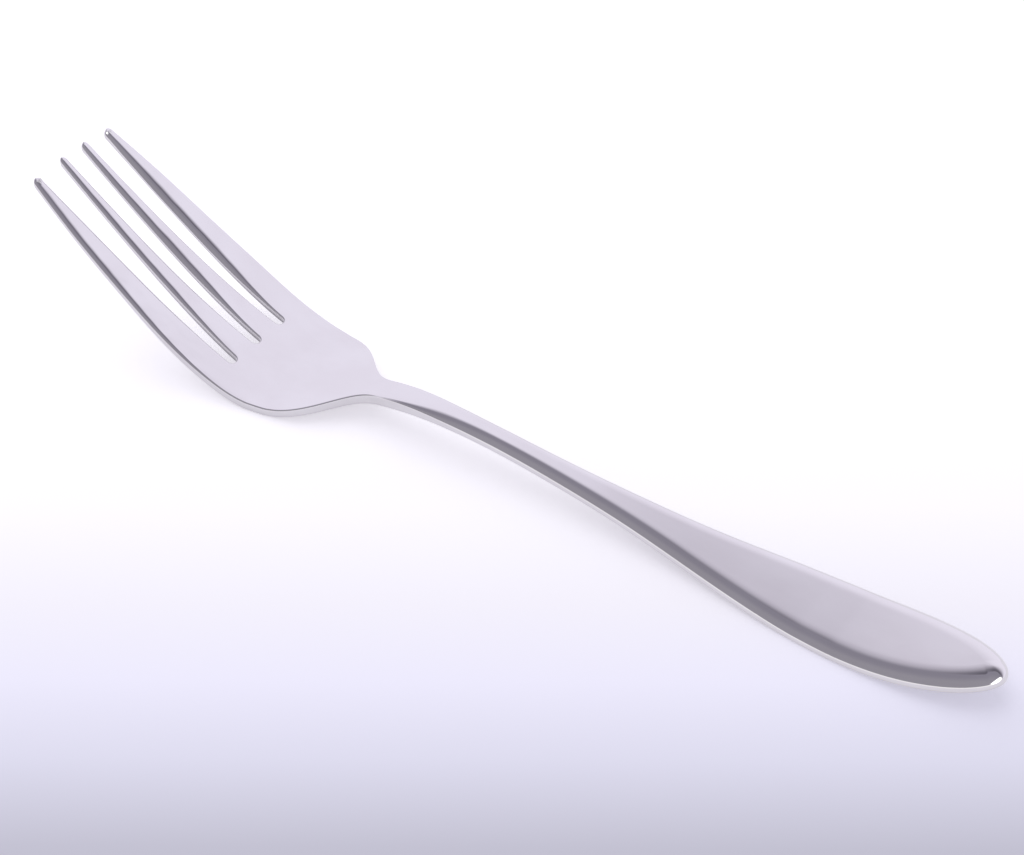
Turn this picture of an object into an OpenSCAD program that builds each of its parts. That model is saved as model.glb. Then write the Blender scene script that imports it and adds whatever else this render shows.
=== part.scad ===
// Dinner fork in polished stainless steel, lying on a table on its heel and its handle.
// The fork is one forging. It is split where a designer names its parts: handle, neck,
// palm and four tines, and those sections meet face to face with no overlap.
// Millimetres. X runs along the fork: tine tips at -X, handle end at +X. Z = 0 is the table.
// "Run" below is the distance from the handle's end towards the tips.

/* [Overall] */
// Length over all, from the tine tips to the handle's end
overall_l = 200; // [190:1:220]
// Radius of the small rounding on every lower edge
low_edge_r = 0.25; // [0.1:0.05:0.4]

/* [Handle] */
// Greatest width of the long oval handle
handle_w = 17.7; // [14:0.1:22]
// Thickness of the handle where it lies on the table
handle_t = 2.4; // [2:0.1:3.4]
// Thickness at the handle's end
handle_end_t = 2.85; // [2:0.05:3.6]
// Upright wall left below the handle's rounded upper edge
handle_wall_h = 0.5; // [0.3:0.05:0.9]
// Reach of the upper edge's rounding in from the side, at the handle's end
handle_round_w = 4; // [2:0.1:5]
// Lift of the handle's end off the table
handle_lift = 3.8; // [1:0.1:5]

/* [Neck] */
// Length of the neck, from the handle's taper to the head
neck_l = 25; // [20:1:32]
// Width of the neck at its narrowest
neck_w = 5.35; // [4.4:0.05:7]
// Width of the neck where the head begins
neck_end_w = 5.55; // [4.8:0.05:8]
// Thickness of the neck
neck_t = 2.15; // [1.8:0.05:3.4]
// Reach of the upper edge's rounding along the neck
neck_round_w = 2.2; // [1.2:0.1:2.4]
// Clear height of the table under the neck's crown
neck_h = 5.9; // [4:0.1:9]

/* [Head] */
// Length of the head, from the neck to the tine tips
head_l = 75.2; // [70:0.2:82]
// Greatest width of the head
head_w = 28.6; // [26.8:0.1:32]
// Width over the outer tines at their tips
tip_span_w = 21.7; // [20.8:0.1:24]
// Thickness of the head at the heel
head_t = 1.65; // [1.4:0.05:2.4]
// Height of the inner tine tips' underside above the table
tip_h = 29.7; // [20:0.1:34]
// Reach of the fine rounding along the palm's upper edge
palm_round_w = 0.4; // [0.2:0.05:0.6]
// Height of the fine rounding along the palm's upper edge
palm_round_h = 0.45; // [0.2:0.05:0.6]

/* [Tines and slots] */
// Length of the slots between the tines
tine_l = 43.9; // [38:0.1:48]
// Thickness of a tine at its tip
tip_t = 1.25; // [0.8:0.05:1.5]
// Length of the rounded point at a tine's tip
point_l = 0.8; // [0.6:0.1:4]
// How much shorter the two inner tines are than the outer ones
inner_short = 0.4; // [0:0.1:1]
// How much lower the outer tines' tips are than the inner ones
outer_droop = 1.2; // [0:0.1:2]
// Reach of a tine's crowned top in from its sides
crown_w = 2.1; // [1:0.1:2.4]
// Distance from a slot's root over which the crown grows to its full size
crown_grow_l = 28; // [16:1:36]
// Width of a slot at its round root
slot_root_w = 2.05; // [1.4:0.05:2.6]
// Width of the middle slot at the tine tips
slot_tip_w = 4.3; // [3.6:0.05:5]
// Width of the two side slots at the tine tips
side_slot_tip_w = 5.1; // [4.4:0.05:5.7]
// Distance between slot centres at the roots
root_pitch = 7.15; // [6.6:0.05:7.6]
// Distance between slot centres at the tips
tip_pitch = 6.35; // [6.1:0.05:6.6]
// Reach of the rounding round a slot's root
slot_round_w = 1; // [0.4:0.05:1.2]
// Height of the rounding round a slot's root
slot_round_h = 0.7; // [0.3:0.05:0.9]

/* [Hidden] */
handle_l = overall_l - head_l - neck_l;
palm_l = head_l - tine_l;
// Runs at which one section ends and the next begins, and the run of the slot roots. The
// tines part from the palm just behind the rounding of the roots.
neck_run = handle_l;
head_run = handle_l + neck_l;
root_run = overall_l - tine_l;
web_share = 1.5;
seam_run = root_run - web_share * slot_round_w;
SLOTS = 3;

// Faces along a rounded upper edge and along a rounded lower edge
TOP_STEPS = 6;
LOW_STEPS = 2;
// Stations along the handle, the neck, the palm and one tine
HANDLE_STATIONS = 42;
NECK_STATIONS = 14;
PALM_STATIONS = 28;
TINE_STATIONS = 32;
// Stations that are kept for a tine's rounded point
POINT_STATIONS = 7;
// Half width of the small flat that ends a handle or a tine
end_flat = 0.12;
// Step for measuring the slope of an outline
nudge = 0.002;

// Widths along the handle as shares of handle_w, at shares of handle_l from its end
handle_width_shares = [
    [0.04, 0.554], [0.07, 0.715], [0.11, 0.85], [0.16, 0.95], [0.25, 1.0], [0.40, 0.905],
    [0.52, 0.728], [0.66, 0.52], [0.80, 0.383], [0.92, 0.32]
];
// Place of the neck's narrowest point, as a share of neck_l
neck_waist_share = 0.3;
// Stretch before the head over which the neck keeps its end width, as a share of neck_l
neck_even_share = 0.1;
// Widths across the shoulders: place as a share of palm_l, width as a share of the
// step from neck_end_w up to head_w
shoulder_shares = [
    [0.064, 0], [0.16, 0.073], [0.255, 0.275], [0.35, 0.525], [0.446, 0.727],
    [0.54, 0.847], [0.67, 0.93], [0.83, 0.982]
];
// Widths over the outer tines: place as a share of tine_l, width as a share of the
// step from tip_span_w up to head_w
tine_span_shares = [[0.243, 1.005], [0.495, 0.79], [0.748, 0.49]];

// Underside of the handle: place as a share of handle_l, height as a share of neck_h
handle_rise_shares = [[0.42, 0.047], [0.56, 0.208], [0.72, 0.505], [0.88, 0.768]];
// Where the handle lies on the table, as a share of handle_l
handle_rest_share = 0.31;
// Height of the underside midway from the handle's end to its rest, as a share of handle_lift
lift_mid_share = 0.29;
// Crown of the neck, as a share of neck_l
neck_crown_share = 0.42;
// Underside from the neck to the heel: place as a share of palm_l, height as a share of neck_h
fall_shares = [[-0.1, 0.845], [0.16, 0.54], [0.41, 0.22]];
// Where the heel lies on the table, as a share of palm_l
heel_share = 0.66;
// Underside from the heel to the tips: place as a share of tine_l, height as a share of tip_h
sweep_shares = [[0, 0.058], [0.27, 0.255], [0.62, 0.59]];
// Where along the tines the outer ones begin to hang lower, as a share of tine_l
droop_start_share = 0.4;
// How far the underside's curve dips below the table, where the rests are ground flat,
// as a share of neck_h
rest_dip_share = 0.008;

// Shares of neck_l over which the handle's wide rounding loses its height, and its reach
height_fade_shares = [0.05, 0.95];
reach_fade_shares = [0.45, 1.05];
// Bow of a slot's sides and of its centre line midway, as a share of the step from its
// root to its tip
slot_bow_share = -0.4;
pitch_bow_share = 0.8;
// Height of a tine's crown over the fork's outer sides and over the slots' sides, as a
// share of its thickness
outer_crown_share = 0.58;
slot_crown_share = 0.36;
// Angle of the fully grown crown where it leaves the tine's upright side
crown_start = 40;
// Most that a rounding may reach in towards the middle line, as a share of the way there
reach_share = 0.92;
// Most of an upright wall that the lower rounding may take, as a share of the wall
low_share = 0.7;

// Smooth curve through points [place, value], with the same bend on both sides of each
// point. The rows of its equations are solved forwards and then backwards.
function gaps_of(p) = [for (i = [0:len(p) - 2]) p[i + 1].x - p[i].x];
function steep_of(p) = [for (i = [0:len(p) - 2]) (p[i + 1].y - p[i].y) / (p[i + 1].x - p[i].x)];
function row(p, g, m, i, level_end) =
    let (last = len(p) - 1)
    i == 0 ? [0, 1, 0, 0] :
    i < last ? [g[i - 1], 2 * (g[i - 1] + g[i]), g[i], 6 * (m[i] - m[i - 1])] :
    level_end ? [g[i - 1], 2 * g[i - 1], 0, -6 * m[i - 1]] : [0, 1, 0, 0];
function forwards(rows, i = 0, done = []) =
    i == len(rows) ? done :
    let (
        r = rows[i],
        before = i == 0 ? [0, 0] : done[i - 1],
        pivot = r[1] - r[0] * before[0]
    )
    forwards(rows, i + 1, concat(done, [[r[2] / pivot, (r[3] - r[0] * before[1]) / pivot]]));
function backwards(done, i, bends = []) =
    i < 0 ? bends :
    backwards(done, i - 1, concat([done[i][1] - (len(bends) > 0 ? done[i][0] * bends[0] : 0)], bends));
function bends_of(p, level_end = false) =
    let (g = gaps_of(p), m = steep_of(p))
    backwards(forwards([for (i = [0:len(p) - 1]) row(p, g, m, i, level_end)]), len(p) - 1);
function span_at(p, x) = max([for (i = [0:len(p) - 2]) x >= p[i].x ? i : 0]);
function curve_at(p, b, x) =
    let (
        i = span_at(p, x),
        g = p[i + 1].x - p[i].x,
        near = (p[i + 1].x - x) / g,
        far = (x - p[i].x) / g
    )
    near * p[i].y + far * p[i + 1].y
    + ((pow(near, 3) - near) * b[i] + (pow(far, 3) - far) * b[i + 1]) * g * g / 6;

// A value that eases from one to another, and how far that has gone between two places
function mix(from, to, t) = from + (to - from) * t;
function ease(run, start, end) =
    let (t = min(max((run - start) / (end - start), 0), 1))
    t * t * (3 - 2 * t);

// Outline of handle and neck. The curve runs through squares of the half widths, so that
// the handle's end closes in a round nose.
function squared(run, width) = [run, pow(width / 2, 2)];
HANDLE_LINE = concat(
    [[0, 0]],
    [for (s = handle_width_shares) squared(s[0] * handle_l, s[1] * handle_w)],
    [squared(neck_run + neck_waist_share * neck_l, neck_w), squared(head_run, neck_end_w)]
);
HANDLE_BENDS = bends_of(HANDLE_LINE, true);
function handle_square(run) = curve_at(HANDLE_LINE, HANDLE_BENDS, run);
function half_from(square) = max(sqrt(max(square, 0)), end_flat);

// Outline of the head over its outer edges
HEAD_LINE = concat(
    [[head_run - neck_even_share * neck_l, neck_end_w / 2], [head_run, neck_end_w / 2]],
    [for (s = shoulder_shares) [head_run + s[0] * palm_l, mix(neck_end_w, head_w, s[1]) / 2]],
    [[root_run, head_w / 2]],
    [for (s = tine_span_shares) [root_run + s[0] * tine_l, mix(tip_span_w, head_w, s[1]) / 2]],
    [[overall_l, tip_span_w / 2]]
);
HEAD_BENDS = bends_of(HEAD_LINE);
function head_half(run) = curve_at(HEAD_LINE, HEAD_BENDS, run);
function head_square(run) = pow(head_half(run), 2);

// Side view: height of the underside, ground flat where the fork rests
rest_run = handle_rest_share * handle_l;
heel_run = head_run + heel_share * palm_l;
rest_dip = -rest_dip_share * neck_h;
SIDE_LINE = concat(
    [[0, handle_lift], [rest_run / 2, lift_mid_share * handle_lift], [rest_run, rest_dip]],
    [for (s = handle_rise_shares) [s[0] * handle_l, s[1] * neck_h]],
    [[neck_run + neck_crown_share * neck_l, neck_h]],
    [for (s = fall_shares) [head_run + s[0] * palm_l, s[1] * neck_h]],
    [[heel_run, rest_dip]],
    [for (s = sweep_shares) [root_run + s[0] * tine_l, s[1] * tip_h]],
    [[overall_l, tip_h]]
);
SIDE_BENDS = bends_of(SIDE_LINE);
function side_curve(run) = curve_at(SIDE_LINE, SIDE_BENDS, run);
function underside(run) = max(side_curve(run), 0);
function steepness(run) = (side_curve(run + nudge) - side_curve(run - nudge)) / (2 * nudge);

// Thickness of the sheet, square to its surface, and the topside that it gives. "Upright"
// turns a depth square to the surface into an upright one.
function sheet(run) =
    run < rest_run ? mix(handle_end_t, handle_t, ease(run, 0, rest_run)) :
    run < neck_run ? mix(handle_t, neck_t, ease(run, rest_run, neck_run)) :
    run < heel_run ? mix(neck_t, head_t, ease(run, head_run, heel_run)) :
    mix(head_t, tip_t, ease(run, heel_run, overall_l));
function upright(run) = sqrt(1 + pow(steepness(run), 2));
function topside(run) = underside(run) + sheet(run) * upright(run);

// Rounding of an upper edge: [reach in from the side, height, angle where it leaves the
// upright side]. An angle of 0 leaves the side smoothly, and a larger one in a crease.
function share_of_neck(s) = neck_run + s * neck_l;
function wide_reach(run) = mix(handle_round_w, neck_round_w, min(run / neck_run, 1));
function handle_round(run) = [
    mix(wide_reach(run), palm_round_w,
        ease(run, share_of_neck(reach_fade_shares[0]), share_of_neck(reach_fade_shares[1]))),
    mix(sheet(run) - handle_wall_h, palm_round_h,
        ease(run, share_of_neck(height_fade_shares[0]), share_of_neck(height_fade_shares[1]))),
    0
];
// Along a tine the fine rounding of the palm, or that of the slot's root, grows to the crown
function crowned(fine, crown_share, run) =
    let (grown = ease(run, root_run, root_run + crown_grow_l))
    mix(fine, [crown_w, crown_share * sheet(run), crown_start], grown);
function outer_round(run) =
    run < root_run ? handle_round(run) :
    crowned([palm_round_w, palm_round_h, 0], outer_crown_share, run);
function slot_round(run) = crowned([slot_round_w, slot_round_h, 0], slot_crown_share, run);

// One long edge of a section at one station: a list of points from the underside to the
// top. The outline point and its outward direction are in plan, run first and Y second.
function low_point(at, out, inset, depth) =
    let (run = at.x - out.x * inset)
    [overall_l / 2 - run, at.y - out.y * inset, underside(run) + depth * upright(run)];
function top_point(at, out, inset, depth) =
    let (run = at.x - out.x * inset)
    [overall_l / 2 - run, at.y - out.y * inset, topside(run) - depth * upright(run)];
function edge(at, out, half, round) =
    let (
        wall = sheet(at.x) - round.y,
        low_r = round.x == 0 ? 0 : min(low_edge_r, low_share * wall),
        reach = min(round.x, reach_share * half / abs(out.y)),
        start = round.z
    )
    concat(
        [for (k = [0:LOW_STEPS]) let (a = 90 * k / LOW_STEPS)
            low_point(at, out, low_r * (1 - sin(a)), low_r * (1 - cos(a)))],
        [for (k = [0:TOP_STEPS]) let (a = mix(start, 90, k / TOP_STEPS))
            top_point(at, out, reach * (cos(start) - cos(a)) / cos(start),
                round.y * (1 - sin(a)) / (1 - sin(start)))]
    );

// Slope of an outline whose half width is given by its square, and its outward direction.
// A seam between sections is met squarely.
function slope_of(square_of, run) =
    (square_of(run + nudge) - square_of(run - nudge)) / (4 * nudge * half_from(square_of(run)));
function outward(slope) = [-slope, 1] / sqrt(1 + slope * slope);
function mirrored(points) = [for (p = points) [p.x, -p.y, p.z]];
function reversed(list) = [for (i = [len(list) - 1:-1:0]) list[i]];

// A closed solid from a row of stations, each [left edge, right edge]. The edges are
// joined across the top and the bottom, and rung by rung at the two ends.
module section(stations) {
    rungs = len(stations[0][0]);
    ring = 2 * rungs;
    last = len(stations) - 1;
    points = [for (s = stations) each concat(s[0], reversed(s[1]))];
    walls = [for (i = [0:last - 1]) for (k = [0:ring - 1]) let (n = (k + 1) % ring)
        each [
            [i * ring + k, i * ring + n, (i + 1) * ring + n],
            [i * ring + k, (i + 1) * ring + n, (i + 1) * ring + k]
        ]];
    ends = [for (i = [0, last]) for (k = [0:rungs - 2]) let (
            base = i * ring,
            across = ring - 1 - k,
            face = [base + k, base + across, base + across - 1, base + k + 1]
        )
        i == 0 ? face : reversed(face)];
    polyhedron(points = points, faces = concat(walls, ends), convexity = 6);
}

// Stations of a part of the fork that is the same on both sides
function both_sides(square_of, runs, first_seam, last_seam) = [
    for (i = [0:len(runs) - 1])
    let (
        run = runs[i],
        seam = (i == 0 && first_seam) || (i == len(runs) - 1 && last_seam),
        out = outward(seam ? 0 : slope_of(square_of, run)),
        half = half_from(square_of(run)),
        left = edge([run, half], out, half, outer_round(run))
    )
    [left, mirrored(left)]
];

// Slots: centre line and width along the run. They open from a round root.
function bowed(t, share) = t + share * t * (1 - t);
function slot_centre(k, run) =
    let (t = max(run - root_run, 0) / tine_l)
    (k - (SLOTS - 1) / 2) * mix(root_pitch, tip_pitch, bowed(t, pitch_bow_share));
function slot_half(k, run) =
    let (
        end_w = k == (SLOTS - 1) / 2 ? slot_tip_w : side_slot_tip_w,
        grown = mix(slot_root_w, end_w, bowed((run - root_run) / tine_l, slot_bow_share)),
        root_r = slot_root_w / 2,
        deep = min(run - root_run, root_r)
    )
    sqrt(max(pow(root_r, 2) - pow(root_r - deep, 2), 0)) * grown / slot_root_w;

// Sides of tine k, counted from the side at -Y: side 0 faces -Y and side 1 faces +Y
function tine_side(k, side, run) =
    side == 0 ? (k == 0 ? -head_half(run) : slot_centre(k - 1, run) + slot_half(k - 1, run)) :
    (k == SLOTS ? head_half(run) : slot_centre(k, run) - slot_half(k, run));
function outer_tine(k) = k == 0 || k == SLOTS;
function tine_end(k) = overall_l - (outer_tine(k) ? 0 : inner_short);
// The rounded point draws both sides in to the tine's middle
function tine_middle(k, run) = (tine_side(k, 1, run) + tine_side(k, 0, run)) / 2;
function tine_square(k, run) =
    let (
        wide = (tine_side(k, 1, run) - tine_side(k, 0, run)) / 2,
        t = max((run - tine_end(k) + point_l) / point_l, 0)
    )
    wide * wide * (1 - t * t);
// How far a slot's rounding reaches back from a place on its round root
function root_back(run) = slot_round_w * max(1 - (run - root_run) / (slot_root_w / 2), 0);
// The outer tines hang lower towards their tips
function droop(run) =
    let (t = max((run - root_run) / tine_l - droop_start_share, 0) / (1 - droop_start_share))
    outer_droop * t * t;
function lowered(k, points) =
    outer_tine(k) ? [for (p = points) [p.x, p.y, p.z - droop(overall_l / 2 - p.x)]] : points;
// Station 0 is the seam with the palm. At station 1 the slot's wall turns round its root,
// so that its rounding reaches straight back into the web behind it. The fork's outer side
// keeps level with the inner end of that rounding.
function tine_edge(k, side, place, station) =
    let (
        outer = (k == 0 && side == 0) || (k == SLOTS && side == 1),
        run = outer && station > 0 ? place - root_back(place) : place,
        turn = side == 0 ? -1 : 1,
        drift = (tine_middle(k, run + nudge) - tine_middle(k, run - nudge)) / (2 * nudge),
        along = outward(slope_of(function (r) tine_square(k, r), run) + turn * drift),
        out = station == 0 ? outward(0) : station == 1 && !outer ? [1, 0] : along,
        half = half_from(tine_square(k, run)),
        round = outer ? outer_round(run) : station == 0 ? [0, 0, 0] : slot_round(run)
    )
    lowered(k, edge([run, tine_middle(k, run) + turn * half], [out.x, turn * out.y], half, round));

// Runs of the stations, crowded where the outline turns fast
handle_runs = [for (i = [0:HANDLE_STATIONS]) neck_run * pow(i / HANDLE_STATIONS, 2)];
neck_runs = [for (i = [0:NECK_STATIONS]) mix(neck_run, head_run, i / NECK_STATIONS)];
palm_runs = [for (i = [0:PALM_STATIONS]) mix(head_run, seam_run, i / PALM_STATIONS)];
function tine_runs(k) =
    let (
        point_run = tine_end(k) - point_l,
        shaft = TINE_STATIONS - POINT_STATIONS
    )
    concat(
        [seam_run],
        [for (i = [0:shaft]) mix(root_run, point_run, pow(i / shaft, 2))],
        [for (i = [1:POINT_STATIONS]) point_run + point_l * sin(90 * i / POINT_STATIONS)]
    );

module handle() {
    color("silver") section(both_sides(function (run) handle_square(run), handle_runs, false, true));
}

module neck() {
    color("silver") section(both_sides(function (run) handle_square(run), neck_runs, true, true));
}

module palm() {
    color("gainsboro") section(both_sides(function (run) head_square(run), palm_runs, true, true));
}

module tine(k) {
    runs = tine_runs(k);
    stations = [for (i = [0:len(runs) - 1]) [tine_edge(k, 1, runs[i], i), tine_edge(k, 0, runs[i], i)]];
    color("gainsboro") section(stations);
}

handle();
neck();
palm();
tine(0);  // tine_1
tine(1);  // tine_2
tine(2);  // tine_3
tine(3);  // tine_4
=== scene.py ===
import math

import bmesh
import bpy
import numpy as np
from mathutils import Matrix, Vector


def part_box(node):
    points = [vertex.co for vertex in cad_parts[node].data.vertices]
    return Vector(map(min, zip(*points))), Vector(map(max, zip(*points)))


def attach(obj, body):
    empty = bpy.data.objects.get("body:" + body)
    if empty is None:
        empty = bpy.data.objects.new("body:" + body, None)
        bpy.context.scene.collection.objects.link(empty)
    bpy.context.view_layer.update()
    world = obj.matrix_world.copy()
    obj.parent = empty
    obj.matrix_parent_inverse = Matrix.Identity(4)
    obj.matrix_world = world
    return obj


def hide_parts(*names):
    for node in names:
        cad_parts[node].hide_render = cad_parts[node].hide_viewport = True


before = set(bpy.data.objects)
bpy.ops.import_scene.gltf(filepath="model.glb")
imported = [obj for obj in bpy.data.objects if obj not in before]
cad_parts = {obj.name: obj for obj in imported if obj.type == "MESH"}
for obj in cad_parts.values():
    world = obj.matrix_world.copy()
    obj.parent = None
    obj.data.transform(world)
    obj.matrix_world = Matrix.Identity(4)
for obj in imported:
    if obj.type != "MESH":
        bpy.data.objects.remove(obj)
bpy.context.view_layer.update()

# Sizes are in millimetres, as in the part's own source, and MM turns them into metres.
# X runs along the fork: tine tips at -X, handle end at +X. Y runs across it, with the camera on
# the -Y side, and Z = 0 is the table. "Run" is the distance from the handle's end.
# An ending of l, w, h, t or r says length, width, height, thickness or radius.
MM = 0.001


def node_length(name):
    low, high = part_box(name)
    return (high.x - low.x) / MM


# Lengths of the sections, from the frame
tips_x = min(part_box(name)[0].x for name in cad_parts)
overall_l = (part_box("handle")[1].x - tips_x) / MM
handle_l = node_length("handle")
neck_l = node_length("neck")
head_l = overall_l - handle_l - neck_l
half_l = overall_l / 2

# Radii of the edges under the fork, and under a slot's side at its root
low_edge_r = 0.25
slot_low_edge_r = 0.5

# Handle and neck
handle_w = 17.7
handle_t = 2.4
handle_end_t = 2.85
handle_wall_h = 0.5
handle_round_w = 4.0
handle_lift = 3.8
neck_w = 5.35
neck_end_w = 5.55
neck_t = 2.15
neck_round_w = 2.2
neck_h = 5.9

# Head
head_w = 28.6
tip_span_w = 21.7
head_t = 1.65
tip_h = 29.7
palm_round_w = 0.3
palm_round_h = 0.34

# Tines and slots
tine_l = 43.9
tip_t = 1.25
point_l = 0.8
inner_short = 0.4
outer_droop = 1.2
slot_root_w = 2.05
slot_tip_w = 4.3
side_slot_tip_w = 5.1
root_pitch = 7.15
tip_pitch = 6.35
slot_round_w = 0.26
slot_round_h = 0.20
# Length of the strip before the slots' roots that is made with the tines
web_l = 1.5

palm_l = head_l - tine_l
neck_run = handle_l
head_run = handle_l + neck_l
root_run = overall_l - tine_l
seam_run = root_run - web_l
SLOTS = 3
middle_slot = (SLOTS - 1) / 2

# Places and values of the curves through the fork. A place is a share of the length of its
# section, and a value is a share of the width or height that it follows.
handle_width_shares = [
    (0.04, 0.554), (0.07, 0.715), (0.11, 0.85), (0.16, 0.95), (0.25, 1.0), (0.40, 0.905),
    (0.52, 0.728), (0.66, 0.52), (0.80, 0.383), (0.92, 0.32),
]
neck_waist_share = 0.3
neck_even_share = 0.1
shoulder_shares = [
    (0.064, 0.0), (0.16, 0.073), (0.255, 0.275), (0.35, 0.525), (0.446, 0.727),
    (0.54, 0.847), (0.67, 0.93), (0.83, 0.982),
]
tine_span_shares = [(0.243, 1.005), (0.495, 0.79), (0.748, 0.49)]
handle_rise_shares = [(0.42, 0.047), (0.56, 0.208), (0.72, 0.505), (0.88, 0.768)]
handle_rest_share = 0.31
lift_mid_share = 0.29
neck_crown_share = 0.42
fall_shares = [(-0.1, 0.845), (0.16, 0.54), (0.41, 0.22)]
heel_share = 0.66
sweep_shares = [(0.0, 0.058), (0.27, 0.255), (0.62, 0.59)]
droop_start_share = 0.4
rest_dip_share = 0.008
height_fade_shares = (0.05, 0.95)
reach_fade_shares = (0.45, 1.05)
slot_bow_share = -0.4
pitch_bow_share = 0.8
# Most of a section's half width that an upper rounding takes, and most of a wall that a lower
# one takes
reach_share = 0.92
low_share = 0.7

# Crowns of the tines, each with its reach and height: over the fork's outer sides, then over a
# slot's side on an outer tine, on an inner tine at the middle slot and on one at a side slot
outer_crown = (1.4, 0.52)
slot_crowns = [(2.0, 0.95), (1.6, 0.8), (1.15, 0.5)]
# Lengths before and after the roots over which the finer roundings grow to these crowns
crown_lead_l = 5.0
outer_crown_grow_l = 28.0
slot_crown_grow_l = 20.0

# Walls of the slots, sheared when they were cut, and darkened near the roots as painted shade:
# dullness and shade at the first loop above the lower rounding, where the rounding itself has 1,
# and the length over which they fade from the roots
dull_shade_wall_share = 0.6
dull_shade_fade_l = 34.0

# Fineness of the mesh. Points closer together than the weld gap become one. END_FLAT is half
# the width of a closed end, slopes are measured over NUDGE on each side, and TINY keeps a
# divisor from being zero.
weld_gap = 0.002
END_FLAT = 0.0005
NUDGE = 0.002
TINY = 1e-9
# Loops along an upright wall, as shares of its height
wall_loop_shares = (0.25, 0.8)
# Steps over an upper and a lower rounding, and from one edge of a tine to the other
TOP_STEPS = 12
LOW_STEPS = 4
ACROSS_A_LANE = 5
# Rings along each section, and how much they crowd towards the handle's end and the slots' roots
HANDLE_STATIONS = 150
NECK_STATIONS = 62
PALM_STATIONS = 76
TINE_STATIONS = 92
POINT_STATIONS = 14
HANDLE_CROWDING = 1.6
TINE_CROWDING = 1.7
# Points of an edge, from the underside to the top
RUNGS = LOW_STEPS + 1 + len(wall_loop_shares) + TOP_STEPS + 1


# Curves

def smooth_curve(points, level_end=False):
    """A curve through points that turns into each without a break in slope or bend, as in the
    part's source. With level_end it leaves its last point level."""
    x, y = np.array(points, float).T
    gap = np.diff(x)
    steep = np.diff(y) / gap
    last = len(x) - 1
    rows = np.zeros((last + 1, last + 1))
    right = np.zeros(last + 1)
    rows[0, 0] = rows[last, last] = 1
    for i in range(1, last):
        rows[i, i - 1:i + 2] = gap[i - 1], 2 * (gap[i - 1] + gap[i]), gap[i]
        right[i] = 6 * (steep[i] - steep[i - 1])
    if level_end:
        rows[last, last - 1:last + 1] = gap[-1], 2 * gap[-1]
        right[last] = -6 * steep[-1]
    bend = np.linalg.solve(rows, right)

    def curve(at):
        i = np.clip(np.searchsorted(x, at, side="right") - 1, 0, last - 1)
        near = (x[i + 1] - at) / gap[i]
        far = (at - x[i]) / gap[i]
        bent = (near ** 3 - near) * bend[i] + (far ** 3 - far) * bend[i + 1]
        return near * y[i] + far * y[i + 1] + bent * gap[i] ** 2 / 6

    return curve


def mix(start, end, t):
    return start + (end - start) * t


def ease(run, start, end):
    t = np.clip((run - start) / (end - start), 0, 1)
    return t * t * (3 - 2 * t)


def squared(run, width):
    """A point of a curve of squared half widths, which keeps a round end round."""
    return (run, (width / 2) ** 2)


rest_run = handle_rest_share * handle_l
heel_run = head_run + heel_share * palm_l
rest_dip = -rest_dip_share * neck_h

handle_square = smooth_curve(
    [(0, 0)]
    + [squared(place * handle_l, share * handle_w) for place, share in handle_width_shares]
    + [squared(neck_run + neck_waist_share * neck_l, neck_w), squared(head_run, neck_end_w)],
    level_end=True)
head_half = smooth_curve(
    [(head_run - neck_even_share * neck_l, neck_end_w / 2), (head_run, neck_end_w / 2)]
    + [(head_run + place * palm_l, mix(neck_end_w, head_w, share) / 2)
       for place, share in shoulder_shares]
    + [(root_run, head_w / 2)]
    + [(root_run + place * tine_l, mix(tip_span_w, head_w, share) / 2)
       for place, share in tine_span_shares]
    + [(overall_l, tip_span_w / 2)])
side_curve = smooth_curve(
    [(0, handle_lift), (rest_run / 2, lift_mid_share * handle_lift), (rest_run, rest_dip)]
    + [(place * handle_l, share * neck_h) for place, share in handle_rise_shares]
    + [(neck_run + neck_crown_share * neck_l, neck_h)]
    + [(head_run + place * palm_l, share * neck_h) for place, share in fall_shares]
    + [(heel_run, rest_dip)]
    + [(root_run + place * tine_l, share * tip_h) for place, share in sweep_shares]
    + [(overall_l, tip_h)])


def head_square(run):
    return head_half(run) ** 2


def half_from(square):
    return max(math.sqrt(max(square, 0)), END_FLAT)


def underside(run):
    """Height of the sheet's lower side. The dips below the table become the two flats it rests on."""
    return np.maximum(side_curve(run), 0)


def upright(run):
    """Height that one millimetre square to the sheet takes up."""
    steepness = (side_curve(run + NUDGE) - side_curve(run - NUDGE)) / (2 * NUDGE)
    return np.sqrt(1 + steepness ** 2)


def sheet(run):
    """Thickness of the steel, square to its surface."""
    if run < rest_run:
        return mix(handle_end_t, handle_t, ease(run, 0, rest_run))
    if run < neck_run:
        return mix(handle_t, neck_t, ease(run, rest_run, neck_run))
    if run < heel_run:
        return mix(neck_t, head_t, ease(run, head_run, heel_run))
    return mix(head_t, tip_t, ease(run, heel_run, overall_l))


def topside(run):
    return underside(run) + sheet(run) * upright(run)


# Roundings of the edges

def along_neck(shares):
    """Runs at shares of the neck's length."""
    return [neck_run + share * neck_l for share in shares]


def handle_round(run):
    """The handle's wide, high rounding fades to the fine one of the palm."""
    wide_reach = mix(handle_round_w, neck_round_w, min(run / neck_run, 1))
    reach_fade = ease(run, *along_neck(reach_fade_shares))
    height_fade = ease(run, *along_neck(height_fade_shares))
    reach = mix(wide_reach, palm_round_w, reach_fade)
    height = mix(sheet(run) - handle_wall_h, palm_round_h, height_fade)
    return np.array([reach, height, low_edge_r])


def outer_round(run):
    """Over the fork's outer sides, the fine rounding of the palm grows to the tines' crown."""
    grown = ease(run, root_run - crown_lead_l, root_run + outer_crown_grow_l)
    crown = np.array([*outer_crown, low_edge_r])
    return mix(handle_round(run), crown, grown)


def slot_round(crown, run):
    """Over a slot's side, the rounding of its root grows to the crown of that side."""
    root = np.array([slot_round_w, slot_round_h, slot_low_edge_r])
    grown = ease(run, root_run, root_run + slot_crown_grow_l)
    return mix(root, np.array([*crown, low_edge_r]), grown)


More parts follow.
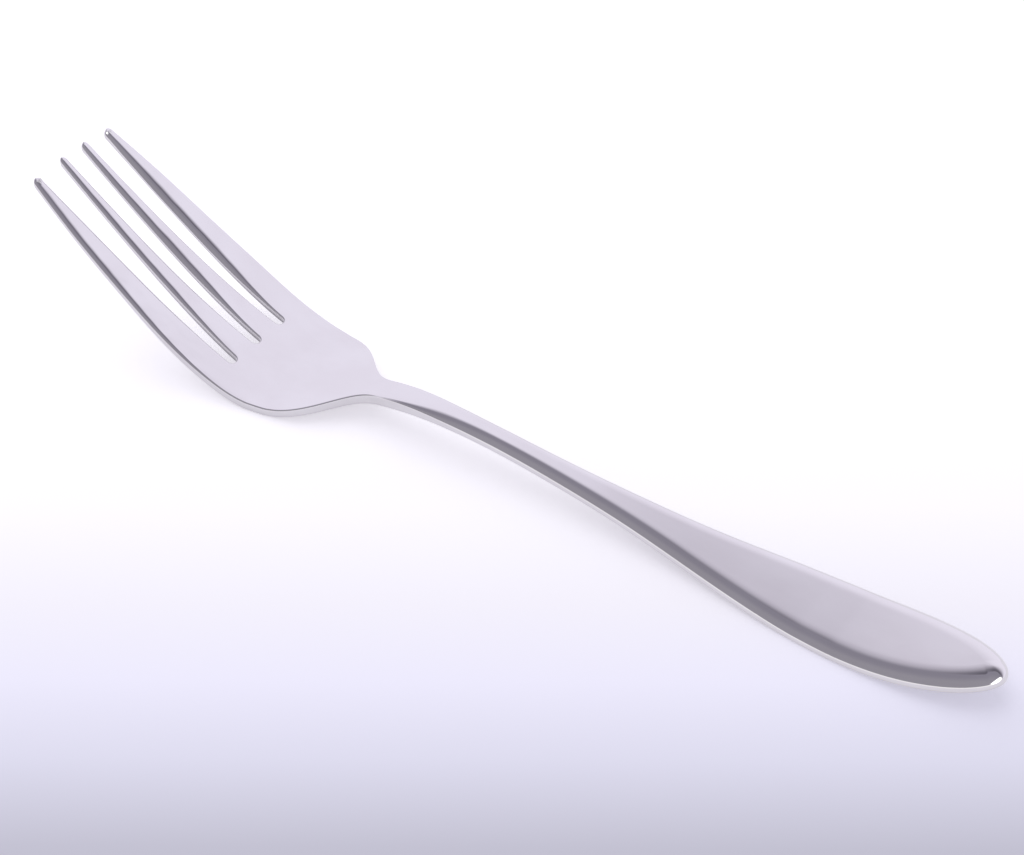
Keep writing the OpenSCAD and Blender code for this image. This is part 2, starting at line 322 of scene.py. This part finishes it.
def edge(at, out, half, rounding):
    """One long edge of a section, from the underside to the top. at is its place seen from
    above, as run and Y, and out points away from the steel there. rounding holds the upper
    rounding's reach in from the side and its height, and the lower one's radius."""
    reach, height, low_r = rounding
    wall = sheet(at[0]) - height
    low_r = min(low_r, low_share * wall)
    reach = min(reach, reach_share * half / max(abs(out[1]), TINY))
    low_turn = np.linspace(0, math.pi / 2, LOW_STEPS + 1)
    top_turn = np.linspace(0, math.pi / 2, TOP_STEPS + 1)
    low = np.stack([low_r * (1 - np.sin(low_turn)), low_r * (1 - np.cos(low_turn))], 1)
    loops = np.array([(0.0, mix(low_r, wall, share)) for share in wall_loop_shares])
    top = np.stack([reach * (1 - np.cos(top_turn)), height * (1 - np.sin(top_turn))], 1)
    points = []
    for inset, depth in np.concatenate([low, loops]):
        run, y = np.array(at) - np.array(out) * inset
        points.append((half_l - run, y, underside(run) + depth * upright(run)))
    for inset, depth in top:
        run, y = np.array(at) - np.array(out) * inset
        points.append((half_l - run, y, topside(run) - depth * upright(run)))
    return np.array(points)


def slope_of(square_of, run):
    """Slope of the outline whose squared half width is given."""
    rise = square_of(run + NUDGE) - square_of(run - NUDGE)
    return rise / (4 * NUDGE * half_from(square_of(run)))


def outward(slope):
    return np.array([-slope, 1.0]) / math.hypot(slope, 1)


# Slots and tines

def bowed(t, bow_share):
    return t + bow_share * t * (1 - t)


def slot_centre(k, run):
    """Y of a slot's middle. Slots and tines are numbered from the -Y side."""
    t = max(run - root_run, 0) / tine_l
    return (k - middle_slot) * mix(root_pitch, tip_pitch, bowed(t, pitch_bow_share))


def slot_half(k, run):
    """Half the width of a slot, whose root is round."""
    end_w = slot_tip_w if k == middle_slot else side_slot_tip_w
    grown = mix(slot_root_w, end_w, bowed((run - root_run) / tine_l, slot_bow_share))
    root_r = slot_root_w / 2
    deep = min(run - root_run, root_r)
    return math.sqrt(max(root_r ** 2 - (root_r - deep) ** 2, 0)) * grown / slot_root_w


def tine_side(k, side, run):
    """Y of a tine's side before its point narrows. Side 0 faces -Y and side 1 faces +Y."""
    if side == 0:
        return -head_half(run) if k == 0 else slot_centre(k - 1, run) + slot_half(k - 1, run)
    return head_half(run) if k == SLOTS else slot_centre(k, run) - slot_half(k, run)


def outer_tine(k):
    return k in (0, SLOTS)


def tine_end(k):
    return overall_l - (0 if outer_tine(k) else inner_short)


def tine_middle(k, run):
    return (tine_side(k, 1, run) + tine_side(k, 0, run)) / 2


def tine_square(k, run):
    """Half a tine's width, squared. The point narrows as a quarter of an ellipse."""
    wide = (tine_side(k, 1, run) - tine_side(k, 0, run)) / 2
    t = max((run - tine_end(k) + point_l) / point_l, 0)
    return wide ** 2 * (1 - t * t)


def root_back(run):
    """How far a slot's rounding reaches back from a place on its round root."""
    return slot_round_w * max(1 - (run - root_run) / (slot_root_w / 2), 0)


def lowered(k, points):
    """The outer tines hang lower towards their tips."""
    if not outer_tine(k):
        return points
    t = np.maximum((half_l - points[:, 0] - root_run) / tine_l - droop_start_share, 0)
    drop = outer_droop * (t / (1 - droop_start_share)) ** 2
    return points - np.outer(drop, (0, 0, 1))


def tine_outward(k, turn, run):
    """The way out of a tine's side, with Y counted outwards. turn is 1 for the side that faces
    +Y and -1 for the one that faces -Y."""
    drift = (tine_middle(k, run + NUDGE) - tine_middle(k, run - NUDGE)) / (2 * NUDGE)
    return outward(slope_of(lambda r: tine_square(k, r), run) + turn * drift)


def point_reach(k, turn, run, out, reach):
    """The reach of a rounding on a tine's point, kept from going back past the point's start."""
    point_run = tine_end(k) - point_l
    if run <= point_run:
        return reach
    start_reach = min(reach, reach_share * half_from(tine_square(k, point_run)))
    back = abs(tine_outward(k, turn, point_run - NUDGE)[0]) * start_reach
    return min(reach, (back + reach_share * (run - point_run)) / abs(out[0]))


def tine_edge(k, side, place, station):
    """One long edge of a tine. Station 0 is its seam with the palm, and station 1 a slot's root."""
    outer = (k == 0 and side == 0) or (k == SLOTS and side == 1)
    turn = -1 if side == 0 else 1
    run = place - root_back(place) if outer and station > 0 else place
    half = half_from(tine_square(k, run))
    if station == 0:
        out = np.array([0.0, 1.0])
    elif station == 1 and not outer:
        out = np.array([1.0, 0.0])
    else:
        out = tine_outward(k, turn, run)
    if outer:
        rounding = outer_round(run)
    elif station == 0:
        rounding = np.zeros(3)
    else:
        rounding = slot_round(slot_crowns[k if turn > 0 else SLOTS - k], run)
    rounding[0] = point_reach(k, turn, run, out, rounding[0])
    return edge((run, tine_middle(k, run) + turn * half), (out[0], turn * out[1]), half, rounding)


# Skin of the fork

def across(start, end, shares, height_of):
    """Points between two edges, on the top or the bottom of the sheet."""
    points = []
    for share in shares:
        x, y = mix(start[:2], end[:2], share)
        points.append((x, y, height_of(half_l - x)))
    return np.array(points).reshape(-1, 3)


def ring(left, right, top_shares, low_shares):
    """A closed ring at one station: up the left edge, over the top, down the right edge, back below."""
    top = across(left[-1], right[-1], top_shares, topside)
    low = across(left[0], right[0], low_shares, underside)
    return np.concatenate([left, top, right[::-1], low[::-1]])


class Skin:
    """Points, how dull the steel is at each and how much painted shade it has, and the faces between
    them.
    """

    def __init__(self):
        self.points = []
        self.dullness_and_shade = []
        self.faces = []

    def sleeve(self, rings, skip=(), dullness_and_shade=None):
        """Joins a row of rings. skip holds (station, first rung, last rung) where no face is made."""
        base = len(self.points)
        size = len(rings[0])
        for i, points in enumerate(rings):
            self.points.extend(points)
            self.dullness_and_shade.extend([0.0] * size if dullness_and_shade is None else dullness_and_shade[i])
        for i in range(len(rings) - 1):
            for k in range(size):
                if any(i == station and first <= k < last for station, first, last in skip):
                    continue
                n = (k + 1) % size
                self.faces.append((base + i * size + k, base + i * size + n,
                                   base + (i + 1) * size + n, base + (i + 1) * size + k))


def lane_shares(reach):
    """Places across the head of the points that the four tines start from, as shares of its width."""
    half = head_half(seam_run) - reach
    sides = [-half] + [slot_centre(k, seam_run) for k in range(SLOTS)] + [half]
    places = []
    for k in range(SLOTS + 1):
        steps = np.linspace(sides[k], sides[k + 1], ACROSS_A_LANE + 1)
        places.extend(steps[1:] if k < SLOTS else steps[1:-1])
    return (half + np.array(places)) / (2 * half)


def body_rings(square_of, runs, first_seam, last_seam):
    """Rings of a part of the fork that is the same on both sides."""
    top_shares = lane_shares(outer_round(seam_run)[0])
    low_shares = lane_shares(low_edge_r)
    rings = []
    for i, run in enumerate(runs):
        seam = (i == 0 and first_seam) or (i == len(runs) - 1 and last_seam)
        out = outward(0 if seam else slope_of(square_of, run))
        half = half_from(square_of(run))
        left = edge((run, half), out, half, outer_round(run))
        rings.append(ring(left, left * [1, -1, 1], top_shares, low_shares))
    return rings


def slot_dullness_and_shade(k, runs):
    """How dull each point of a tine's rings is, with painted shade: the sheared lower walls of its
    slots, near the roots.
    """
    low_rungs = [1.0] * (LOW_STEPS + 1) + [dull_shade_wall_share]
    side = low_rungs + [0.0] * (RUNGS - len(low_rungs))
    plain = [0.0] * RUNGS
    lane = [0.0] * (ACROSS_A_LANE - 1)
    left = side if k < SLOTS else plain
    right = side if k > 0 else plain
    whole = np.array(left + lane + right[::-1] + lane)
    return [whole * (1 - ease(run, root_run, root_run + dull_shade_fade_l)) for run in runs]


def tine_runs(k):
    """Places of a tine's rings: the seam, the shaft from the slots' roots, and the point."""
    point_run = tine_end(k) - point_l
    shaft = TINE_STATIONS - POINT_STATIONS
    runs = [seam_run]
    runs += [mix(root_run, point_run, (i / shaft) ** TINE_CROWDING) for i in range(shaft + 1)]
    runs += [point_run + point_l * math.sin(math.pi / 2 * i / POINT_STATIONS)
             for i in range(1, POINT_STATIONS + 1)]
    return runs


def tine_rings(k, runs):
    """At a tine's very end both edges are one, so the tip is closed."""
    shares = np.linspace(0, 1, ACROSS_A_LANE + 1)[1:-1]
    edges = [(tine_edge(k, 1, run, i), tine_edge(k, 0, run, i)) for i, run in enumerate(runs)]
    edges[-1] = [(edges[-1][0] + edges[-1][1]) / 2] * 2
    return [lowered(k, ring(left, right, shares, shares)) for left, right in edges]


def fork_mesh():
    """The whole forging as one closed mesh, with no seam between its sections."""
    skin = Skin()
    handle_runs = neck_run * np.linspace(0, 1, HANDLE_STATIONS + 1) ** HANDLE_CROWDING
    neck_runs = np.linspace(neck_run, head_run, NECK_STATIONS + 1)
    palm_runs = np.linspace(head_run, seam_run, PALM_STATIONS + 1)
    skin.sleeve(body_rings(handle_square, handle_runs, False, True))
    skin.sleeve(body_rings(handle_square, neck_runs, True, True))
    skin.sleeve(body_rings(head_square, palm_runs, True, True))
    right_start = RUNGS + ACROSS_A_LANE - 1
    for k in range(SLOTS + 1):
        skip = []
        if k < SLOTS:
            skip.append((0, 0, RUNGS - 1))
        if k > 0:
            skip.append((0, right_start, right_start + RUNGS - 1))
        runs = tine_runs(k)
        skin.sleeve(tine_rings(k, runs), skip, slot_dullness_and_shade(k, runs))
    return closed_mesh(skin)


def closed_mesh(skin):
    """The skin with its ends and seams welded shut and its faces smooth."""
    mesh = bpy.data.meshes.new("fork")
    bm = bmesh.new()
    dull_and_painted_shade = bm.verts.layers.float.new("dull_and_painted_shade")
    verts = [bm.verts.new(Vector(point) * MM) for point in skin.points]
    for vert, value in zip(verts, skin.dullness_and_shade):
        vert[dull_and_painted_shade] = value
    for face in skin.faces:
        bm.faces.new([verts[i] for i in face])
    bmesh.ops.remove_doubles(bm, verts=bm.verts, dist=weld_gap * MM)
    bmesh.ops.dissolve_degenerate(bm, edges=bm.edges, dist=weld_gap * MM)
    bmesh.ops.recalc_face_normals(bm, faces=bm.faces)
    for face in bm.faces:
        face.smooth = True
    bm.to_mesh(mesh)
    bm.free()
    return mesh


# Materials

def new_material(name):
    material = bpy.data.materials.new(name)
    material.use_nodes = True
    return material, material.node_tree


def set_inputs(node, **values):
    for name, value in values.items():
        node.inputs[name.replace("_", " ")].default_value = value


def formula(tree, operation, *terms):
    """A Math node. A term is a number or another node's output."""
    node = tree.nodes.new("ShaderNodeMath")
    node.operation = operation
    for socket, term in zip(node.inputs, terms):
        if isinstance(term, bpy.types.NodeSocket):
            tree.links.new(term, socket)
        else:
            socket.default_value = term
    return node.outputs[0]


def graded(tree, value, start, end, low=0.0, high=1.0):
    """Goes smoothly from low to high as the value goes from start to end."""
    node = tree.nodes.new("ShaderNodeMapRange")
    node.interpolation_type = "SMOOTHSTEP"
    if start > end:
        start, end, low, high = end, start, high, low
    set_inputs(node, From_Min=start, From_Max=end, To_Min=low, To_Max=high)
    tree.links.new(value, node.inputs["Value"])
    return node.outputs["Result"]


# Places of a colour Mix node's sockets
MIX_FACTOR = 0
MIX_START = 6
MIX_END = 7
MIX_RESULT = 2


def mixed(tree, share, start, end):
    """A colour between two others. Each is a colour or another node's output."""
    node = tree.nodes.new("ShaderNodeMix")
    node.data_type = "RGBA"
    for place, term in ((MIX_FACTOR, share), (MIX_START, start), (MIX_END, end)):
        socket = node.inputs[place]
        if isinstance(term, bpy.types.NodeSocket):
            tree.links.new(term, socket)
        else:
            socket.default_value = term
    return node.outputs[MIX_RESULT]


def noise(tree, place, size, detail):
    """Noise whose features have the given size along X, Y and Z, in millimetres."""
    spread = tree.nodes.new("ShaderNodeMapping")
    spread.vector_type = "TEXTURE"
    set_inputs(spread, Scale=[length * MM for length in size])
    texture = tree.nodes.new("ShaderNodeTexNoise")
    set_inputs(texture, Scale=1.0, Detail=detail)
    tree.links.new(place, spread.inputs["Vector"])
    tree.links.new(spread.outputs["Vector"], texture.inputs["Vector"])
    return texture.outputs["Fac"]


def turned(tree, place, degrees):
    """The place turned about the upright axis, so that a layer of marks runs at a slant."""
    turn = tree.nodes.new("ShaderNodeMapping")
    set_inputs(turn, Rotation=(0, 0, math.radians(degrees)))
    tree.links.new(place, turn.inputs["Vector"])
    return turn.outputs["Vector"]


def bumped(tree, height, depth, below=None):
    """A Bump node whose full height is the given depth in millimetres, over another one."""
    node = tree.nodes.new("ShaderNodeBump")
    set_inputs(node, Strength=1.0, Distance=depth * MM)
    tree.links.new(height, node.inputs["Height"])
    if below is not None:
        tree.links.new(below, node.inputs["Normal"])
    return node.outputs["Normal"]


# Steel between the cloudy patches and in them, its roughness there, and the patches' size
steel_clear = (0.79, 0.78, 0.795, 1)
steel_cloudy = (0.765, 0.75, 0.765, 1)
polish_rough = (0.06, 0.10)
cloud_size = (14, 9, 9)
cloud_detail = 3
cloud_step = (0.35, 0.65)

# Waves left by the polishing wheel, and closer ones that set in between two places along X
wave_size = (11, 5, 5)
wave_depth = 0.035
wave_detail = 0
tine_wave_size = (3.4, 2.0, 2.0)
tine_wave_depth = 0.04
tine_wave_fade = (-50, -62)

# Roughness that the slots' sheared walls add, and their darker steel, which is painted shade
sheared_rough = 0.1
slot_painted_shade = (0.33, 0.32, 0.34, 1)

# Hairlines nearly along the fork, others aslant, and their turns about Z in degrees
hairline_size = (5.0, 0.16, 0.5)
hairline_turn = 4
hairline_step = (0.66, 0.74)
slant_size = (3.0, 0.14, 0.5)
slant_turn = -38
slant_step = (0.68, 0.76)
line_detail = 2
hairline_depth = 0.0006
hairline_rough = 0.05

# Wear near the table, and along the last of the tines
rest_wear_top = 0.7
rest_wear_rough = 0.12
tip_wear_l = 9.0
tip_wear_rough = 0.06


def polished_steel():
    """Mirror polish that has been in use: soft waves left by the polishing wheel, cloudy
    patches, fine hairlines, and duller steel where the fork lies on tables, at its tips and on the
    sheared walls of its slots, where the steel is also darker as painted shade."""
    material, tree = new_material("polished_steel")
    shader = tree.nodes["Principled BSDF"]
    shader.inputs["Metallic"].default_value = 1.0
    texture_place = tree.nodes.new("ShaderNodeTexCoord").outputs["Object"]
    axes = tree.nodes.new("ShaderNodeSeparateXYZ")
    tree.links.new(texture_place, axes.inputs[0])

    clouds = noise(tree, texture_place, cloud_size, cloud_detail)
    along = noise(tree, turned(tree, texture_place, hairline_turn), hairline_size, line_detail)
    slanted = noise(tree, turned(tree, texture_place, slant_turn), slant_size, line_detail)
    fine = graded(tree, along, *hairline_step)
    lines = formula(tree, "MAXIMUM", fine, graded(tree, slanted, *slant_step))
    rest_wear = graded(tree, axes.outputs["Z"], rest_wear_top * MM, 0, high=rest_wear_rough)
    wear_start = (tip_wear_l - half_l) * MM
    tip_wear = graded(tree, axes.outputs["X"], wear_start, -half_l * MM, high=tip_wear_rough)
    cloudy = graded(tree, clouds, *cloud_step, *polish_rough)
    dull_and_shade_node = tree.nodes.new("ShaderNodeAttribute")
    dull_and_shade_node.attribute_name = "dull_and_painted_shade"
    worn = formula(tree, "ADD", rest_wear, tip_wear)
    worn = formula(tree, "MULTIPLY_ADD", dull_and_shade_node.outputs["Fac"], sheared_rough, worn)
    scored = formula(tree, "MULTIPLY_ADD", lines, hairline_rough, worn)
    tree.links.new(formula(tree, "ADD", cloudy, scored), shader.inputs["Roughness"])
    steel = mixed(tree, graded(tree, clouds, *cloud_step), steel_clear, steel_cloudy)
    # Painted shade: the slots' lower walls near the roots get darker steel.
    steel = mixed(tree, dull_and_shade_node.outputs["Fac"], steel, slot_painted_shade)
    tree.links.new(steel, shader.inputs["Base Color"])

    waves = bumped(tree, noise(tree, texture_place, wave_size, wave_detail), wave_depth)
    on_tines = graded(tree, axes.outputs["X"], *[x * MM for x in tine_wave_fade])
    close_waves = noise(tree, texture_place, tine_wave_size, wave_detail)
    waves = bumped(tree, formula(tree, "MULTIPLY", close_waves, on_tines), tine_wave_depth, waves)
    scratches = bumped(tree, lines, hairline_depth, waves)
    tree.links.new(scratches, shader.inputs["Normal"])
    return material


def add_fork():
    fork = bpy.data.objects.new("fork", fork_mesh())
    bpy.context.scene.collection.objects.link(fork)
    fork.data.materials.append(polished_steel())
    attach(fork, "root")
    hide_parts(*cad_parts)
    return fork


# Camera

# Fitted to the photograph: where it aims, its direction, and its distance
aim = Vector((-4.817, 10.13, 0.0)) * MM
camera_azimuth = math.radians(34.286)
camera_elevation = math.radians(40.981)
camera_roll = math.radians(0.211)
camera_distance = 461.89 * MM
# Focal length in pixels of a picture of this width, the sensor's width in millimetres, and how
# near the camera sees
focal_pixels = 2500
image_width = 1024
sensor_width = 36.0
nearest_seen = 10 * MM


def add_camera():
    data = bpy.data.cameras.new("camera")
    data.sensor_width = sensor_width
    data.lens = focal_pixels * sensor_width / image_width
    data.clip_start = nearest_seen
    camera = bpy.data.objects.new("camera", data)
    back = Vector((
        math.sin(camera_azimuth) * math.cos(camera_elevation),
        -math.cos(camera_azimuth) * math.cos(camera_elevation),
        math.sin(camera_elevation)))
    right = (-back).cross(Vector((0, 0, 1))).normalized()
    up = right.cross(-back)
    turned_right = right * math.cos(camera_roll) + up * math.sin(camera_roll)
    turned_up = up * math.cos(camera_roll) - right * math.sin(camera_roll)
    camera.matrix_world = Matrix.Translation(aim + back * camera_distance) @ Matrix(
        (turned_right, turned_up, back)).transposed().to_4x4()
    bpy.context.scene.collection.objects.link(camera)
    bpy.context.scene.camera = camera


# Stage: a floor, a studio for the steel to mirror, a grey gauze and a lamp

white = (1, 1, 1, 1)


def sheet_object(name, corners, material):
    """A flat sheet with its corners given in millimetres."""
    mesh = bpy.data.meshes.new(name)
    mesh.from_pydata([Vector(corner) * MM for corner in corners], [], [range(len(corners))])
    placed = bpy.data.objects.new(name, mesh)
    placed.data.materials.append(material)
    bpy.context.scene.collection.objects.link(placed)
    return placed


# Painted shade of the floor: its colour at distances from the fork's middle towards the camera
floor_painted_shades = [
    (-60, (0.98, 0.965, 1.0, 1)),
    (10, (0.865, 0.85, 0.885, 1)),
    (35, (0.785, 0.77, 0.82, 1)),
    (53, (0.735, 0.725, 0.825, 1)),
    (70, (0.635, 0.63, 0.725, 1)),
    (88, (0.48, 0.475, 0.545, 1)),
    (110, (0.42, 0.415, 0.48, 1)),
]
# Its shade in the steel, how much of each shade it shows without any light, and its roughness
floor_in_steel = (0.74, 0.725, 0.76, 1)
floor_glow = 0.42
floor_rough = 0.9
# Half its width, how far it lies below the fork, and the stops that a new ramp already has
floor_half = 3000
floor_drop = 0.02
RAMP_STOPS = 2


def floor_painted_shade(tree):
    """The floor's colour at each place, with painted shade that deepens towards the camera."""
    axes = tree.nodes.new("ShaderNodeSeparateXYZ")
    tree.links.new(tree.nodes.new("ShaderNodeTexCoord").outputs["Object"], axes.inputs[0])
    sideways = formula(tree, "MULTIPLY", axes.outputs["X"], math.sin(camera_azimuth) / MM)
    nearness = formula(tree, "MULTIPLY_ADD", axes.outputs["Y"], -math.cos(camera_azimuth) / MM, sideways)
    ramp = tree.nodes.new("ShaderNodeValToRGB")
    stops = ramp.color_ramp.elements
    far_end, near_end = floor_painted_shades[0][0], floor_painted_shades[-1][0]
    for i, (place, colour) in enumerate(floor_painted_shades):
        share = (place - far_end) / (near_end - far_end)
        stop = stops[i] if i < RAMP_STOPS else stops.new(share)
        stop.position = share
        stop.color = colour
    along = tree.nodes.new("ShaderNodeMapRange")
    set_inputs(along, From_Min=far_end, From_Max=near_end)
    tree.links.new(nearness, along.inputs["Value"])
    tree.links.new(along.outputs["Result"], ramp.inputs["Fac"])
    return ramp.outputs["Color"]


# The floor greys towards the camera by shade painted into its colour.
def add_floor():
    """A floor that grows greyer towards the camera, as in the photograph."""
    material, tree = new_material("floor")
    shader = tree.nodes["Principled BSDF"]
    set_inputs(shader, Roughness=floor_rough, Specular_IOR_Level=0.0)
    path = tree.nodes.new("ShaderNodeLightPath")
    shade = mixed(tree, path.outputs["Is Glossy Ray"], floor_painted_shade(tree), floor_in_steel)
    tree.links.new(shade, shader.inputs["Base Color"])
    glow = tree.nodes.new("ShaderNodeEmission")
    tree.links.new(shade, glow.inputs["Color"])
    seen = formula(tree, "MAXIMUM", path.outputs["Is Camera Ray"], path.outputs["Is Glossy Ray"])
    seen = formula(tree, "MAXIMUM", seen, path.outputs["Is Transmission Ray"])
    tree.links.new(formula(tree, "MULTIPLY", seen, floor_glow), glow.inputs["Strength"])
    both = tree.nodes.new("ShaderNodeAddShader")
    tree.links.new(shader.outputs[0], both.inputs[0])
    tree.links.new(glow.outputs[0], both.inputs[1])
    tree.links.new(both.outputs[0], tree.nodes["Material Output"].inputs["Surface"])
    ends = (-floor_half, floor_half)
    floor = sheet_object("floor", [
        (ends[0], ends[0], -floor_drop), (ends[1], ends[0], -floor_drop),
        (ends[1], ends[1], -floor_drop), (ends[0], ends[1], -floor_drop)], material)


# Studio: a pale wall behind the fork, whose edge slants back overhead, a pale side at the left,
# dark elsewhere, a little less so towards the front, and pale low down. An edge is where a tone
# starts and where it is full, as parts of the direction looked in.
world_pale = (0.97, 0.93, 1.05, 1)
window_slant = 0.263
window_edge = (-0.04, 0.36)
left_window_edge = (-0.6, -0.8)
world_dark = (0.285, 0.27, 0.325, 1)
world_dim = (0.35, 0.335, 0.38, 1)
dim_edge = (0.05, -0.5)
world_low = (1.1, 1.08, 1.1, 1)
low_edge = (0.24, 0.16)
# A small bright window that glints in the handle's end
world_glint = (2.0, 2.0, 2.0, 1)
glint_direction = (0.915, -0.233, 0.329)
glint_edge = (0.93, 0.955)
# Plain light that falls on the floor, and the backdrop
world_soft = (0.54, 0.53, 0.58, 1)
world_backdrop = white


def studio(tree):
    """What the steel mirrors in each direction."""
    axes = tree.nodes.new("ShaderNodeSeparateXYZ")
    towards = tree.nodes.new("ShaderNodeTexCoord").outputs["Generated"]
    tree.links.new(towards, axes.inputs[0])
    behind = formula(tree, "MULTIPLY_ADD", axes.outputs["Z"], -window_slant, axes.outputs["Y"])
    left_share = graded(tree, axes.outputs["X"], *left_window_edge)
    pale_share = formula(tree, "MAXIMUM", graded(tree, behind, *window_edge), left_share)
    dark = mixed(tree, graded(tree, axes.outputs["Y"], *dim_edge), world_dark, world_dim)
    overhead = mixed(tree, pale_share, dark, world_pale)
    dark_share = formula(tree, "SUBTRACT", 1.0, pale_share)
    low_share_of_dark = graded(tree, axes.outputs["Z"], *low_edge)
    sky = mixed(tree, formula(tree, "MULTIPLY", low_share_of_dark, dark_share), overhead, world_low)
    towards_glint = tree.nodes.new("ShaderNodeVectorMath")
    towards_glint.operation = "DOT_PRODUCT"
    towards_glint.inputs[1].default_value = glint_direction
    tree.links.new(towards, towards_glint.inputs[0])
    glint_share = graded(tree, towards_glint.outputs["Value"], *glint_edge)
    return mixed(tree, glint_share, sky, world_glint)


def add_world():
    """The steel mirrors the studio, the floor gets plain light, and the camera sees white."""
    world = bpy.data.worlds.new("studio")
    world.use_nodes = True
    tree = world.node_tree
    path = tree.nodes.new("ShaderNodeLightPath")
    backdrop = mixed(tree, path.outputs["Is Camera Ray"], world_soft, world_backdrop)
    seen = mixed(tree, path.outputs["Is Glossy Ray"], backdrop, studio(tree))
    tree.links.new(seen, tree.nodes["Background"].inputs["Color"])
    bpy.context.scene.world = world


# Gauze: its place, its height and ends, the stretches of X and Z over which it thickens, and
# the tone of what is seen through it
scrim_y = 60
scrim_h = 450
scrim_ends = (-60, 400)
scrim_side_fade = (-45, 50)
scrim_foot_fade = (15, 110)
scrim_tone = (0.55, 0.54, 0.555, 1)


def add_scrim():
    """A grey gauze close behind the fork's handle, seen only in the steel, which it tones."""
    material, tree = new_material("scrim")
    axes = tree.nodes.new("ShaderNodeSeparateXYZ")
    tree.links.new(tree.nodes.new("ShaderNodeTexCoord").outputs["Object"], axes.inputs[0])
    aside = graded(tree, axes.outputs["X"], *[x * MM for x in scrim_side_fade])
    above = graded(tree, axes.outputs["Z"], *[z * MM for z in scrim_foot_fade])
    gauze = tree.nodes.new("ShaderNodeBsdfTransparent")
    toned = mixed(tree, formula(tree, "MULTIPLY", aside, above), white, scrim_tone)
    tree.links.new(toned, gauze.inputs["Color"])
    tree.links.new(gauze.outputs[0], tree.nodes["Material Output"].inputs["Surface"])
    left, right = scrim_ends
    scrim = sheet_object("scrim", [
        (left, scrim_y, 0), (right, scrim_y, 0),
        (right, scrim_y, scrim_h), (left, scrim_y, scrim_h)], material)
    scrim.visible_camera = False
    scrim.visible_diffuse = False
    scrim.visible_shadow = False


# Lamp: its place, how wide it is, and its power in watts
lamp_place = (-450, 250, 700)
lamp_w = 1200
lamp_power = 3.2


def add_lamp():
    """A soft lamp above the fork's far side. It lights the floor, and the steel doesn't mirror it."""
    data = bpy.data.lights.new("soft_light", "AREA")
    data.size = lamp_w * MM
    data.energy = lamp_power
    lamp = bpy.data.objects.new("soft_light", data)
    lamp.location = Vector(lamp_place) * MM
    lamp.rotation_euler = (-lamp.location).to_track_quat("-Z", "Y").to_euler()
    lamp.visible_glossy = False
    bpy.context.scene.collection.objects.link(lamp)


add_fork()
add_camera()
add_floor()
add_world()
add_scrim()
add_lamp()

bpy.context.scene.view_settings.view_transform = "Standard"
